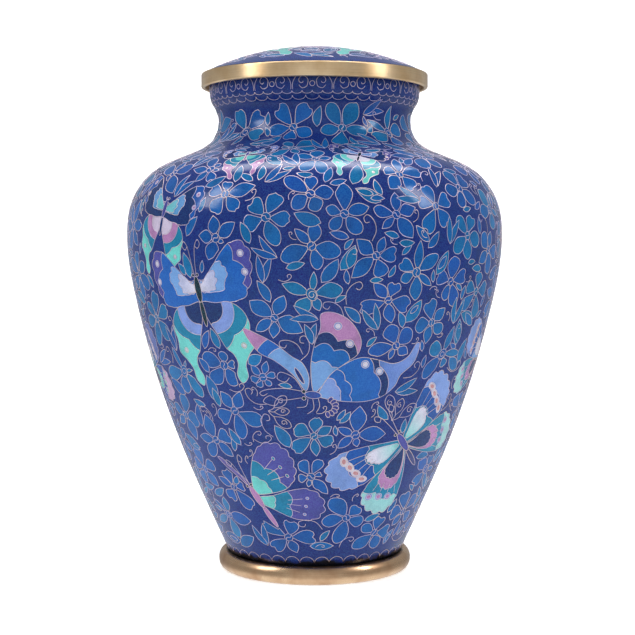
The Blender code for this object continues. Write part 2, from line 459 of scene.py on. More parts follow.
def alighting(edge, field, root_colour, sliver):
    """A butterfly at rest, seen from its side: two wings to the right and a sliver of a third."""
    fore = Wing(
        (1.0, -3.0),
        [(0.8, -2), (5, 6), (12, 13.4), (20, 17), (27, 13.6), (28.6, 5.6), (25, -2.6), (17, -7), (8, -6.4),
         (1.4, -4.4)],
        (edge, edge),
        [(0.52, 5.0, 0.12, root_colour, TEAL), (0.27, 5.0, 0.10, MINT, MINT)],
        [(20.4 + 0.4 * k, 8.6 - 5.0 * k, 0.7, 0.9, 0.0, TEAL, None) for k in range(3)],
        [[(12.6, 5.4 - 3.0 * k), (19.6, 8.4 - 4.8 * k)] for k in range(3)],
        (5.4, 1.3),
    )
    hind = Wing(
        (1.0, -7.0),
        [(0.8, -6), (8, -7.6), (17, -8.4), (25, -10.4), (29, -16), (26.6, -23), (19, -26), (11, -22.4),
         (4, -14), (1, -10)],
        (field, edge),
        [(0.50, 5.0, 0.12, TEAL, TEAL), (0.25, 5.0, 0.10, MINT, MINT)],
        [(22.6 - 3.2 * k, -15.0 - 3.4 * k, 0.7, 0.7, 0.0, PALE_LAVENDER, None) for k in range(3)],
        [[(13.6 - 1.6 * k, -12.4 - 1.6 * k), (20.4 - 2.8 * k, -14.4 - 2.8 * k)] for k in range(3)],
        (5.4, 1.3),
    )
    third = Wing(
        (0.0, -2.0),
        [(0, -1), (-2.6, 6), (-6.4, 14), (-8.4, 19.6), (-5.6, 17.6), (-2.4, 10), (0.4, 4)],
        (sliver, sliver),
    )
    return [fore, hind, third]


def gliding(sheet, place, size, turn=0.0):
    """A butterfly in flight, seen from its side, with a curled, striped body."""

    def fit(points):
        return turned_by(points, turn, size)

    far_wing = Wing(
        (0.0, 1.0),
        [(0, 2), (-5, 9), (-13, 15.6), (-21, 20), (-27.6, 30), (-20, 27.4), (-13, 23.6), (-6, 18), (-1, 14.6),
         (1.6, 8)],
        (PINK, PINK),
        [(0.72, 5.0, 0.05, SKY, SKY), (0.58, 5.0, 0.05, PALE_BLUE, PALE_BLUE)],
        [(-2.6, 9.0, 0.9, 4.2, 28.0, COBALT, None)],
    )
    upright = Wing(
        (4.4, 0.6),
        [(3.4, 1.6), (2.4, 13), (4, 23), (6.8, 30.6), (7.2, 37), (13, 37.6), (20, 33.6), (24.4, 26),
         (23.4, 19.4), (18.6, 15.4), (12.6, 11), (7, 4)],
        (PINK, PINK),
        [(0.73, 8.0, 0.10, DEEP_NAVY, DEEP_NAVY), (0.60, 8.0, 0.10, SKY, AZURE),
         (0.40, 6.0, 0.10, PALE_BLUE, PALE_BLUE)],
        [(x, y, 1.1, 1.1, 0.0, CREAM, PALE_LAVENDER) for x, y in ((14.4, 31.6), (19.6, 23.6))],
    )
    near_wing = Wing(
        (5.0, -0.4),
        [(5.6, 0.6), (11, 9.6), (18.6, 15), (25, 17.2), (32, 16), (40, 14), (47, 16.8), (51.6, 22.8),
         (53.6, 22), (50.4, 14), (43.6, 8.4), (40.6, 3.4), (34.6, -1.2), (26.4, -3.4), (17, -3.2), (8, -1.6)],
        (SKY, PALE_LAVENDER),
        [(0.60, 7.0, 0.06, DEEP_NAVY, DEEP_NAVY), (0.53, 8.0, 0.06, AZURE, SKY), (0.28, 6.0, 0.10, SKY, SKY),
         (0.19, 6.0, 0.10, PALE_BLUE, PALE_LAVENDER)],
        [(x, y, 1.1, 1.1, 0.0, CREAM, PALE_BLUE) for x, y in ((26.4, 14.0), (33.0, 10.6))],
    )
    for wing in (far_wing, upright, near_wing):
        wing.draw(sheet, place, fit)
    sheet.cell(place, fit(oval(3.2, 0.0, 3.6, 1.7, -6.0, 16)), 30, PURPLE, CORNFLOWER)
    for k in range(7):
        lean = 60.0 - 23.0 * k
        a = math.radians(lean)
        stripe = oval(8.6 + 4.4 * math.cos(a), -5.6 + 3.8 * math.sin(a), 1.0, 1.5, lean - 90.0, 10)
        sheet.cell(place, fit(stripe), 20 + k, COBALT, PURPLE)
    for y in (1.6, -1.6):
        sheet.cell(place, fit(oval(-0.8, y, 0.9, 0.9, 0.0, 10)), 31, BLACK, BLACK)
    for line in (
        [(-1.6, 1.8), (-10, 3), (-18, 2), (-20.6, 0.4), (-19, -0.8), (-17, 0.4)],
        [(-1.4, 2.4), (-5, 8), (-11, 10.6), (-12.4, 7.6), (-9, 6), (-7, 8)],
        [(-2, -1.4), (-11, -2.6), (-16, -0.6), (-19, -3.6), (-14, -5.4), (-12, -3.4)],
        [(1.0, -1.6), (0.0, -5.4), (-4.0, -6.0)],
        [(3.0, -1.6), (3.4, -6.6), (0.6, -9.0)],
        [(5.4, -1.4), (6.0, -5.4), (4.4, -8.4)],
    ):
        sheet.strand(place, fit(rounded(line, 1.0, closed=False)))


# Flowers


def petal(length, half_angle, tip, rng):
    """A petal that grows along +x from the middle of its flower."""
    widest = {"round": 0.60, "heart": 0.66, "pointed": 0.48, "ruffled": 0.68}[tip]
    half_width = min(length * widest * math.tan(min(half_angle, 0.66)) * 0.90, 0.30 * length + 0.8, 3.7)
    t = (1.0 - np.cos(np.linspace(0.0, math.pi, 11 if length > 7.0 else 9))) / 2
    fullness = 0.9 if tip == "pointed" else 0.54
    width = half_width * np.sin(math.pi * t ** (math.log(0.5) / math.log(widest))) ** fullness
    width *= 1.0 + rng.uniform(0.0, 0.10) * np.sin(7.0 * t + rng.uniform(0.0, 6.0))
    x = 1.4 + (length - 1.4) * t
    left = np.stack([x, width * rng.uniform(0.84, 1.08)], axis=1)
    right = np.stack([x, -width * rng.uniform(0.84, 1.08)], axis=1)
    line = np.concatenate([left, right[-2:0:-1]])
    share = (line[:, 0] / length) ** 2
    across = line[:, 1] / half_width
    if tip == "heart":
        dent = np.exp(-(((across - rng.uniform(-0.25, 0.25)) / 0.40) ** 2))
        line[:, 0] -= rng.uniform(0.11, 0.19) * length * dent * share**3
    if tip == "ruffled":
        line[:, 0] -= 0.08 * length * np.abs(np.cos(across * 4.7 + rng.uniform(-0.6, 0.6))) * share**2
    line[:, 1] += rng.uniform(-0.12, 0.12) * length * share
    return line


def room(offsets, directions, margin):
    """How far each direction is free of the points around, which keep a margin."""
    away = np.linalg.norm(offsets, axis=1)
    close = away < FAR
    away, offsets = np.maximum(away[close], 1e-3), offsets[close]
    angle = np.arctan2(offsets[:, 1], offsets[:, 0])
    turn = np.abs((directions[:, None] - angle[None] + math.pi) % FULL_TURN - math.pi)
    blocked = turn < np.arcsin(np.minimum(1.0, (margin + 0.5) / away))[None]
    return np.where(blocked, away[None] - margin, FAR).min(axis=1, initial=FAR)


def share_ground(skin, seeds, i, directions):
    """How far a flower may reach before the ground is nearer to another one."""
    offsets = skin.offsets(seeds[i], np.delete(seeds, i, axis=0))
    away = (offsets**2).sum(axis=1)
    offsets, away = offsets[away < 50.0**2], away[away < 50.0**2]
    facing = np.stack([np.cos(directions), np.sin(directions)], axis=1) @ offsets.T
    halfway = np.where(facing > 1e-6, away[None] / 2 / np.maximum(facing, 1e-6), FAR)
    return halfway.min(axis=1, initial=FAR)


def sow(skin, rng, blocked, inside_any, low, high, spacing, tries, seeds=()):
    """Scatters flower middles over a skin, clear of each other and of what is drawn already."""
    seeds = [tuple(s) for s in seeds]
    for _ in range(tries):
        spot = skin.sample(rng, low, high)
        if seeds:
            near = np.linalg.norm(skin.offsets(spot, np.array(seeds)), axis=1).min()
            if near < spacing * rng.uniform(0.92, 1.18):
                continue
        if np.linalg.norm(skin.offsets(spot, blocked), axis=1).min() < 5.6:
            continue
        if inside_any(spot):
            continue
        seeds.append(spot)
    return np.array(seeds)


def within(outline, spots):
    """Which spots lie inside a closed outline."""
    a = outline
    b = np.roll(outline, -1, axis=0)
    y = spots[:, 1][:, None]
    crosses = (a[None, :, 1] > y) != (b[None, :, 1] > y)
    slope = (b[:, 0] - a[:, 0]) / np.where(np.abs(b[:, 1] - a[:, 1]) < 1e-12, 1e-12, b[:, 1] - a[:, 1])
    x = a[None, :, 0] + (y - a[None, :, 1]) * slope[None]
    return (crosses & (spots[:, 0][:, None] < x)).sum(axis=1) % 2 == 1


def bloom(sheet, rng, place, free, longest):
    """A flower with petals as long as their room allows, seen from the front or from its side."""
    side_view = rng.random() < 0.22 and free.min() > 4.5
    count = rng.choice((5, 5, 5, 6)) if free.max() > 7.0 else 5
    favourite = rng.choice(("round", "round", "heart", "ruffled", "pointed"))
    pot = rng.choice(PETAL_POTS)
    start = rng.uniform(0.0, FULL_TURN)
    angles = [start + FULL_TURN * (k + rng.uniform(-0.15, 0.15)) / count for k in range(count)]
    directions = np.linspace(0.0, FULL_TURN, WAYS, endpoint=False)
    for k, angle in enumerate(angles):
        before = angles[k - 1] - (FULL_TURN if k == 0 else 0.0)
        after = angles[(k + 1) % count] + (FULL_TURN if k == count - 1 else 0.0)
        half = min(angle - before, after - angle) / 2
        turn = np.abs((directions - angle + math.pi) % FULL_TURN - math.pi)
        length = min(np.percentile(free[turn < half * 0.7], 45), longest) * rng.uniform(0.88, 1.0)
        if length < 3.6:
            continue
        tip = favourite if rng.random() < 0.6 else rng.choice(("round", "heart", "pointed", "ruffled"))
        if side_view and k > 2:
            tip, half = "pointed", half * 0.62
        line = turned_by(petal(length, half, tip, rng), math.degrees(angle))
        polar = np.arctan2(line[:, 1], line[:, 0]) % FULL_TURN
        allowed = np.interp(polar, np.append(directions, FULL_TURN), np.append(free, free[0]))
        size = np.linalg.norm(line, axis=1)
        line *= np.minimum(1.0, allowed / np.maximum(size, 1e-6))[:, None]
        colour = between(rng.uniform(0.0, 0.35), pot, rng.choice(PETAL_POTS))
        if side_view and k != 1:
            colour = between(rng.uniform(0.2, 0.7), pot, LEAF_TEAL)
        sheet.cell(place, line, 1, between(0.34, colour, COBALT), colour, (0.0, 0.0), length)
    middle = rng.uniform(1.65, 2.1)
    if side_view:
        lean = math.degrees(angles[1])
        bud = oval(0.0, 0.0, middle * 1.5, middle * 1.15, lean, 14)
        sheet.cell(place, bud, 3, pot, between(0.4, pot, COBALT))
        sheet.strand(place, turned_by(curl(0.2, 0.0, middle * 1.1, 0.0, 480.0, 16, 0.3), lean))
    else:
        sheet.cell(place, oval(0.0, 0.0, middle, middle, 0.0, 12), 3, pot, between(0.3, pot, COBALT))
        fleck = [(-middle, -0.2), (-0.6, 0.55), (0.6, -0.55), (middle, 0.2)]
        sheet.strand(place, turned_by(rounded(fleck, 0.5, closed=False), rng.uniform(0.0, 360.0)))


def leaf(sheet, rng, place, angle, length, half_width):
    """A leaf, or a pair of them from one stalk where it is wide enough."""
    t = np.linspace(0.0, 1.0, 8)
    pot = between(rng.uniform(0.0, 0.6), rng.choice(PETAL_POTS), LEAF_TEAL)
    spread = [0.0] if half_width < 2.0 or length < 6.0 or rng.random() < 0.55 else [-15.0, 15.0]
    for lean in spread:
        wide = half_width * (1.0 if len(spread) == 1 else 0.56)
        width = wide * np.sin(math.pi * t**0.85) ** 0.8
        x = (t - 0.5) * length
        bend = rng.uniform(-0.08, 0.08) * length * np.sin(math.pi * t)
        left, right = np.stack([x, bend + width], axis=1), np.stack([x, bend - width], axis=1)
        line = np.concatenate([left, right[-2:0:-1]])
        line = turned_by(line + [length / 2, 0.0], lean) - [length / 2, 0.0]
        sheet.cell(place, turned_by(line, math.degrees(angle)), 1, between(0.3, pot, COBALT), pot)


def tendril(sheet, rng, place, angle, length):
    """A loose curl of wire on the bare ground."""
    hand = rng.choice((-1.0, 1.0))
    line = np.array([(-0.5, -0.10), (-0.2, 0.14), (0.16, 0.16), (0.42, 0.0), (0.36, -0.17), (0.18, -0.16),
                     (0.16, -0.02)])
    line = rounded(line * length * [1.0, hand], 0.6, closed=False)
    sheet.strand(place, turned_by(line, math.degrees(angle)))


def leaf_loops(sheet, place, turn, size):
    """Leaves drawn in bare wire, with a curl in each, on winding stalks."""
    for lean, reach in ((-34.0, 1.0), (6.0, 0.78), (44.0, 0.92)):
        corners = [(0, 0), (1.2, 5), (-1.6, 10), (-2.2, 16), (1.0, 19.4), (4.4, 16), (4.4, 10.6), (1.2, 5.4)]
        for line in (rounded(corners, 1.0, closed=False), curl(1.0, 13.6, 2.3, 90.0, 400.0, 16, 0.3)):
            sheet.strand(place, turned_by(turned_by(line, lean, reach), turn, size))


def plant(sheet, rng, low, high, spacing, seeds=(), longest=14.5, tries=5000, fences=()):
    """Fills the free ground of a skin with flowers, and what they leave with small leaves."""
    skin = sheet.skin
    outlines = [c["spots"] for c in sheet.cells]
    blocked = np.concatenate(outlines + list(sheet.strands) + list(fences))
    boxes = np.array([[*o.min(axis=0), *o.max(axis=0)] for o in outlines]).reshape(-1, 4)
    turns = (0.0, FULL_TURN, -FULL_TURN) if isinstance(skin, VesselSkin) else (0.0,)

    def inside_any(spot):
        for turn in turns:
            x, y = spot[0] + turn, spot[1]
            over = (boxes[:, 0] < x) & (x < boxes[:, 2]) & (boxes[:, 1] < y) & (y < boxes[:, 3])
            if any(within(outlines[k], np.array([[x, y]]))[0] for k in np.flatnonzero(over)):
                return True
        return False

    seeds = sow(skin, rng, blocked, inside_any, low, high, spacing, tries, seeds)
    directions = np.linspace(0.0, FULL_TURN, WAYS, endpoint=False)
    quarter, half = WAYS // 4, WAYS // 2
    for i, seed in enumerate(seeds):
        free = share_ground(skin, seeds, i, directions) - PETAL_GAP
        free = np.minimum(free, room(skin.offsets(seed, blocked), directions, 0.8))
        bloom(sheet, rng, tuple(seed), free, longest)
    outlines = [c["spots"] for c in sheet.cells]
    boxes = np.array([[*o.min(axis=0), *o.max(axis=0)] for o in outlines])
    grown = np.concatenate(outlines + list(sheet.strands) + list(fences))
    for _ in range(tries):
        spot = skin.sample(rng, low, high)
        offsets = skin.offsets(spot, grown)
        if np.linalg.norm(offsets, axis=1).min() < 1.35 or inside_any(spot):
            continue
        free = room(offsets, directions, 0.45)
        best = int(np.argmax(np.minimum(free, 12.0) + np.minimum(np.roll(free, half), 12.0)))
        ahead, behind = free[best], free[(best + half) % WAYS]
        long = min(ahead + behind, 12.0)
        thin = min(free[(best + quarter) % WAYS], free[(best - quarter) % WAYS], 3.2)
        angle = directions[best]
        shift = (min(ahead, 9.0) - min(behind, 9.0)) / 2
        middle = skin.spots(spot, [(shift * math.cos(angle), shift * math.sin(angle))])[0]
        if long < 4.0 or thin < 0.8 or inside_any(tuple(middle)):
            continue
        if thin < 1.1 or rng.random() < 0.2:
            tendril(sheet, rng, tuple(middle), angle, min(long, thin * 4.5))
            grown = np.concatenate([grown, sheet.strands[-1]])
        else:
            first = len(sheet.cells)
            leaf(sheet, rng, tuple(middle), angle, min(long, thin * 4.4), thin * 0.9)
            grown = np.concatenate([grown] + [c["spots"] for c in sheet.cells[first:]])


# Enamel and wire


def deselect():
    if bpy.context.object and bpy.context.object.mode != "OBJECT":
        bpy.ops.object.mode_set(mode="OBJECT")
    bpy.ops.object.select_all(action="DESELECT")


def new_mesh(name, points, faces):
    mesh = bpy.data.meshes.new(name)
    mesh.from_pydata([tuple(p) for p in points], [], [tuple(int(i) for i in f) for f in faces])
    made = bpy.data.objects.new(name, mesh)
    bpy.context.scene.collection.objects.link(made)
    return made


def inlay(name, sheet, border, net, ground):
    """Lays the drawn cells into one skin. Gives the enamel's mesh and the runs of wire between its cells."""
    skin = sheet.skin
    cells = sorted(sheet.cells, key=lambda c: c["layer"])
    copies = []
    for cell in cells:
        copies.append(cell)
        if isinstance(skin, VesselSkin):
            for turn in (-FULL_TURN, FULL_TURN):
                moved = cell["spots"] + [[turn, 0.0]]
                if moved[:, 0].max() > -math.pi and moved[:, 0].min() < math.pi:
                    copies.append({**cell, "spots": moved, "heart": cell["heart"] + [turn, 0.0]})
    cells = copies
    spots = [border, net] + [c["spots"] for c in cells]
    flat = [skin.flat(s) for s in spots]
    starts = np.cumsum([0] + [len(s) for s in spots])
    faces = [list(range(len(border)))]
    faces += [list(range(starts[i + 2], starts[i + 3])) for i in range(len(cells))]
    points, _, triangles, _, _, sources = geometry.delaunay_2d_cdt(
        [Vector(p) for p in np.concatenate(flat)], [], faces, 1, 1e-4, True
    )
    points = np.array([tuple(p) for p in points])
    kept = [(t, max(s)) for t, s in zip(triangles, sources) if 0 in s]
    corners = np.array([t for t, _ in kept])
    owner = np.array([s for _, s in kept])
    back = points / [FLAT_RADIUS, 1.0] if isinstance(skin, VesselSkin) else points

    near = np.array([ground] + [c["near"] for c in cells])
    far = np.array([ground] + [c["far"] for c in cells])
    hearts = np.concatenate([[[0.0, 0.0]], skin.flat(np.array([c["heart"] for c in cells]))])
    reach = np.array([1.0] + [c["reach"] for c in cells])
    away = np.linalg.norm(points[corners] - hearts[owner][:, None], axis=2) / reach[owner][:, None]
    share = np.clip(away, 0.0, 1.0)[..., None]
    colours = near[owner][:, None] * (1.0 - share) + far[owner][:, None] * share

    colours = np.minimum(colours * FIRED_BRIGHT, 0.9)
    made = new_mesh(name, skin.at(back), corners)
    paint = made.data.color_attributes.new("glaze", "FLOAT_COLOR", "CORNER")
    loops = np.ones((len(corners) * 3, 4))
    loops[:, :3] = colours.reshape(-1, 3)
    paint.data.foreach_set("color", loops.ravel())
    chart = made.data.uv_layers.new(name="OFBake")
    chart.data.foreach_set("uv", skin.chart(back)[corners.ravel()].ravel())

    edges = np.sort(np.concatenate([corners[:, (0, 1)], corners[:, (1, 2)], corners[:, (2, 0)]]), axis=1)
    sides = np.tile(owner, 3)
    order = np.lexsort((edges[:, 1], edges[:, 0]))
    edges, sides = edges[order], sides[order]
    paired = (edges[:-1] == edges[1:]).all(axis=1) & (sides[:-1] != sides[1:])
    runs = [back[run] for run in chains(edges[:-1][paired])]
    return made, runs


def chains(pairs):
    """Joins edges into runs, which end where a wire ends or more than two meet."""
    links = {}
    for a, b in pairs.tolist():
        links.setdefault(a, []).append(b)
        links.setdefault(b, []).append(a)
    used = set()
    runs = []

    def follow(a, b):
        run = [a, b]
        used.update(((a, b), (b, a)))
        while len(links[b]) == 2:
            after = links[b][0] if links[b][1] == a else links[b][1]
            if (b, after) in used:
                break
            used.update(((b, after), (after, b)))
            run.append(after)
            a, b = b, after
        runs.append(run)

    for a, ends in links.items():
        if len(ends) != 2:
            for b in ends:
                if (a, b) not in used:
                    follow(a, b)
    for a, ends in links.items():
        for b in ends:
            if (a, b) not in used:
                follow(a, b)
    return runs


def wires(name, skin, runs, width=WIRE_WIDTH):
    """Flattened wires with sloping shoulders, laid along runs on a skin."""
    points, faces, chart = [], [], []
    start = 0
    profile = np.array([(-0.5, -0.8), (-0.31, 0.86), (0.31, 0.86), (0.5, -0.8)])
    for run in runs:
        middle = skin.at(run)
        closed = len(run) > 4 and np.linalg.norm(middle[0] - middle[-1]) < 1e-6
        if closed:
            run, middle = run[:-1], middle[:-1]
        apart = np.linalg.norm(np.diff(middle, axis=0), axis=1)
        keep = np.concatenate([[True], apart > WIRE_STEP * MM])
        run, middle = run[keep], middle[keep]
        n = len(run)
        if n < 2:
            continue
        closed = closed and n > 3
        ahead = np.roll(middle, -1, axis=0) - middle
        if not closed:
            ahead[-1] = ahead[-2]
        ahead /= np.linalg.norm(ahead, axis=1)[:, None]
        behind = np.roll(ahead, 1, axis=0)
        if not closed:
            behind[0] = ahead[0]
        along = behind + ahead
        along /= np.maximum(np.linalg.norm(along, axis=1), 1e-6)[:, None]
        normals = skin.facing(run)
        across = np.cross(normals, along)
        across /= np.linalg.norm(across, axis=1)[:, None]
        spread = 1.0 / np.clip((along * ahead).sum(axis=1), 0.55, 1.0)
        for across_share, rise_share in profile:
            aside = across * (across_share * width * MM) * spread[:, None]
            points.append(middle + aside + normals * (rise_share * WIRE_RISE * MM))
        chart.append(np.tile(skin.chart(run), (4, 1)))
        row = np.arange(n if closed else n - 1)
        after = (row + 1) % n
        for k in range(4):
            near, far = start + k * n, start + (k + 1) % 4 * n
            faces.append(np.stack([near + row, near + after, far + after, far + row], axis=1))
        if not closed:
            faces.append(np.array([[start, start + n, start + 2 * n, start + 3 * n]]))
            last = start + n - 1
            faces.append(np.array([[last + 3 * n, last + 2 * n, last + n, last]]))
        start += 4 * n
    made = new_mesh(name, np.concatenate(points), np.concatenate(faces))
    made.data.shade_smooth()
    layer = made.data.uv_layers.new(name="OFBake")
    index = np.zeros(len(made.data.loops), dtype=np.int32)
    made.data.loops.foreach_get("vertex_index", index)
    layer.data.foreach_set("uv", np.concatenate(chart)[index].ravel())
    return made


# Turned pieces


def lathe(name, stations, closed=False):
    """Turns a piece: a circle is drawn up or down and resized at each (radius, height) station."""
    deselect()
    radius, height = stations[0]
    bpy.ops.mesh.primitive_circle_add(vertices=SIDES, radius=radius * MM)
    made = bpy.context.object
    made.name = name
    made.data.name = name
    bpy.ops.object.mode_set(mode="EDIT")
    bpy.ops.mesh.select_all(action="SELECT")
    bpy.ops.transform.translate(value=(0.0, 0.0, height * MM))
    path = list(stations[1:]) + ([stations[0]] if closed else [])
    for next_radius, next_height in path:
        rise = (0.0, 0.0, (next_height - height) * MM)
        bpy.ops.mesh.extrude_edges_move(TRANSFORM_OT_translate={"value": rise})
        if next_radius < 1e-6:
            bpy.ops.mesh.merge(type="COLLAPSE")
        elif abs(next_radius - radius) > 1e-9:
            grow = next_radius / radius
            bpy.ops.transform.resize(value=(grow, grow, 1.0), center_override=(0.0, 0.0, next_height * MM))
        radius, height = next_radius, next_height
    bpy.ops.mesh.select_all(action="SELECT")
    bpy.ops.mesh.remove_doubles(threshold=2e-6)
    bpy.ops.mesh.normals_make_consistent(inside=False)
    bpy.ops.object.mode_set(mode="OBJECT")
    return made


def dressed(piece, slot, material, *replaced):
    """Gives a finished piece its material and its place on the urn. The slot it is given is not used."""
    piece.data.materials.clear()
    piece.data.materials.append(material)
    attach(piece, "root")
    if replaced:
        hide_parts(*replaced)
    return piece


# Finishes


class Finish:
    """A Principled material whose looks follow patterns on the piece's own coordinates."""

    def __init__(self, name, colour, metallic, roughness):
        self.material = bpy.data.materials.new(name)
        self.material.use_nodes = True
        self.tree = self.material.node_tree
        self.shader = self.tree.nodes["Principled BSDF"]
        self.shader.inputs["Base Color"].default_value = (*colour, 1.0)
        self.shader.inputs["Metallic"].default_value = metallic
        self.shader.inputs["Roughness"].default_value = roughness
        self.where = self.node("ShaderNodeTexCoord").outputs["Object"]

    def node(self, kind, **settings):
        made = self.tree.nodes.new(kind)
        for key, value in settings.items():
            setattr(made, key, value)
        return made

    def join(self, start, end):
        self.tree.links.new(start, end)

    def cloud(self, grain_mm, detail=3.0, rough=0.55, stretch=(1.0, 1.0, 1.0)):
        """Soft noise whose patches are about grain_mm across."""
        place = self.node("ShaderNodeMapping")
        place.inputs["Scale"].default_value = stretch
        self.join(self.where, place.inputs["Vector"])
        made = self.node("ShaderNodeTexNoise")
        made.inputs["Scale"].default_value = 1.0 / (grain_mm * MM)
        made.inputs["Detail"].default_value = detail
        made.inputs["Roughness"].default_value = rough
        self.join(place.outputs["Vector"], made.inputs["Vector"])
        return made.outputs["Fac"]

    def spread(self, value, low, high, to_low=0.0, to_high=1.0):
        made = self.node("ShaderNodeMapRange")
        for key, number in (("From Min", low), ("From Max", high), ("To Min", to_low), ("To Max", to_high)):
            made.inputs[key].default_value = number
        self.join(value, made.inputs["Value"])
        return made.outputs["Result"]

    def blend(self, share, first, second, mode="MIX"):
        made = self.node("ShaderNodeMix", data_type="RGBA", blend_type=mode)
        for socket, value in ((0, share), (6, first), (7, second)):
            if isinstance(value, (int, float)):
                made.inputs[socket].default_value = value
            elif isinstance(value, tuple):
                made.inputs[socket].default_value = (*value, 1.0)
            else:
                self.join(value, made.inputs[socket])
        return made.outputs[2]

    def sum(self, first, second, operation="ADD"):
        made = self.node("ShaderNodeMath", operation=operation)
        for socket, value in ((0, first), (1, second)):
            if isinstance(value, (int, float)):
                made.inputs[socket].default_value = value
            else:
                self.join(value, made.inputs[socket])
        return made.outputs[0]

    def set(self, socket, value):
        self.join(value, self.shader.inputs[socket])

    def shade(self, glaze, value, dark, light):
        """Darkens and lightens a colour by a value from 0.3 to 0.7."""
        grey = self.blend(self.spread(value, 0.3, 0.7, dark, light), (0.0, 0.0, 0.0), (1.0, 1.0, 1.0))
        return self.blend(1.0, glaze, grey, "MULTIPLY")

    def relief(self, height, depth_mm, strength=1.0):
        made = self.node("ShaderNodeBump")
        made.inputs["Strength"].default_value = strength
        made.inputs["Distance"].default_value = depth_mm * MM
        self.join(height, made.inputs["Height"])
        self.join(made.outputs["Normal"], self.shader.inputs["Normal"])


# Heights in metres between which the enamel darkens downwards: painted shade where the wall meets the foot
# ring, with the dark solder line there.
SOLDER_SHADE_FULL = 0.0096
SOLDER_SHADE_GONE = 0.0112


def enamel_finish(name):
    """Ground and polished glass enamel: cloudy, with fine grains, a little ripple and a few pits."""
    look = Finish(name, COBALT, 0.0, 0.10)
    glaze = look.node("ShaderNodeVertexColor", layer_name="glaze").outputs["Color"]
    cloudy = look.shade(glaze, look.cloud(7.0, 2.0), 0.80, 1.16)
    grains = look.spread(look.cloud(0.55, 4.0, 0.75), 0.36, 0.64, 0.0, 1.0)
    darker = look.blend(1.0, cloudy, (0.62, 0.74, 0.86), "MULTIPLY")
    lighter = look.blend(0.16, cloudy, (0.10, 0.42, 0.62))
    glass = look.blend(grains, darker, lighter)
    height = look.node("ShaderNodeSeparateXYZ")
    look.join(look.where, height.inputs["Vector"])
    uneven = look.sum(look.spread(look.cloud(4.0, 3.0), 0.3, 0.7, -0.0012, 0.0012), height.outputs["Z"])
    # Painted shade in the seam above the foot ring, with the dark solder line there.
    solder_and_shade = look.spread(uneven, SOLDER_SHADE_FULL, SOLDER_SHADE_GONE, 1.0, 0.0)
    look.set("Base Color", look.blend(solder_and_shade, glass, tint(22, 24, 34)))
    look.set("Roughness", look.spread(look.cloud(3.0, 3.0), 0.3, 0.7, 0.11, 0.19))
    ripple = look.cloud(9.0, 2.0)
    grain = look.sum(look.cloud(0.8, 2.0), 0.10, "MULTIPLY")
    look.relief(look.sum(ripple, grain), 0.04, 0.4)
    look.shader.inputs["IOR"].default_value = 1.38
    return look.material


def wire_finish():
    look = Finish("gilded wire", tint(214, 198, 204), 1.0, 0.46)
    warm = look.spread(look.cloud(14.0, 2.0), 0.35, 0.65)
    look.set("Base Color", look.blend(warm, tint(202, 188, 210), tint(224, 204, 200)))
    return look.material


def brass_finish(name, pale, deep, brushed_mm, rough_low, rough_high, brushed=0.0, seam_radius=0.0):
    """Brass brushed on the lathe: fine lines round the piece, a soft cloud of tarnish over it."""
    look = Finish(name, pale, 1.0, rough_low)
    lines = look.cloud(brushed_mm, 3.0, 0.6, (0.004, 0.004, 1.0))
    tarnish = look.spread(look.cloud(11.0, 4.0, 0.6), 0.35, 0.70)
    brass_colour = look.blend(tarnish, pale, deep)
    if seam_radius:
        flat = look.node("ShaderNodeVectorMath", operation="MULTIPLY")
        flat.inputs[1].default_value = (1.0, 1.0, 0.0)
        look.join(look.where, flat.inputs[0])
        away = look.node("ShaderNodeVectorMath", operation="LENGTH")
        look.join(flat.outputs["Vector"], away.inputs[0])
        edge = look.sum(look.spread(look.cloud(5.0, 3.0), 0.3, 0.7, -0.0004, 0.0004), away.outputs["Value"])
        # Painted shade on the ring next to the wall, with the dark solder line there.
        solder_and_shade = look.spread(edge, seam_radius - 0.0003, seam_radius + 0.0009, 1.0, 0.0)
        brass_colour = look.blend(solder_and_shade, brass_colour, tint(44, 34, 30))
    look.set("Base Color", look.shade(brass_colour, lines, 0.88, 1.08))
    look.set("Roughness", look.spread(look.sum(lines, tarnish), 0.5, 1.5, rough_low, rough_high))
    look.relief(lines, 0.01, 0.25)
    round_it = look.node("ShaderNodeTangent", direction_type="RADIAL", axis="Z")
    look.set("Tangent", round_it.outputs["Tangent"])
    look.shader.inputs["Anisotropic"].default_value = brushed
    look.shader.inputs["Anisotropic Rotation"].default_value = 0.25
    return look.material


# The urn's pictures

MONARCH = (BLACK, BLACK)
VIOLET = (PURPLE, PURPLE)
BLUSH = (PINK, PINK)
SCROLLS = 17
ARCHES = 40
NECK_FLOWERS = 13


def at(degrees, along):
    """A place on the vessel: degrees round from the front, and millimetres of wall up from the foot."""
    return math.radians(degrees), along


def level_line(along):
    """A line round the vessel that nothing is planted across."""
    return np.stack([np.linspace(-math.pi, math.pi, 300), np.full(300, along)], axis=1)


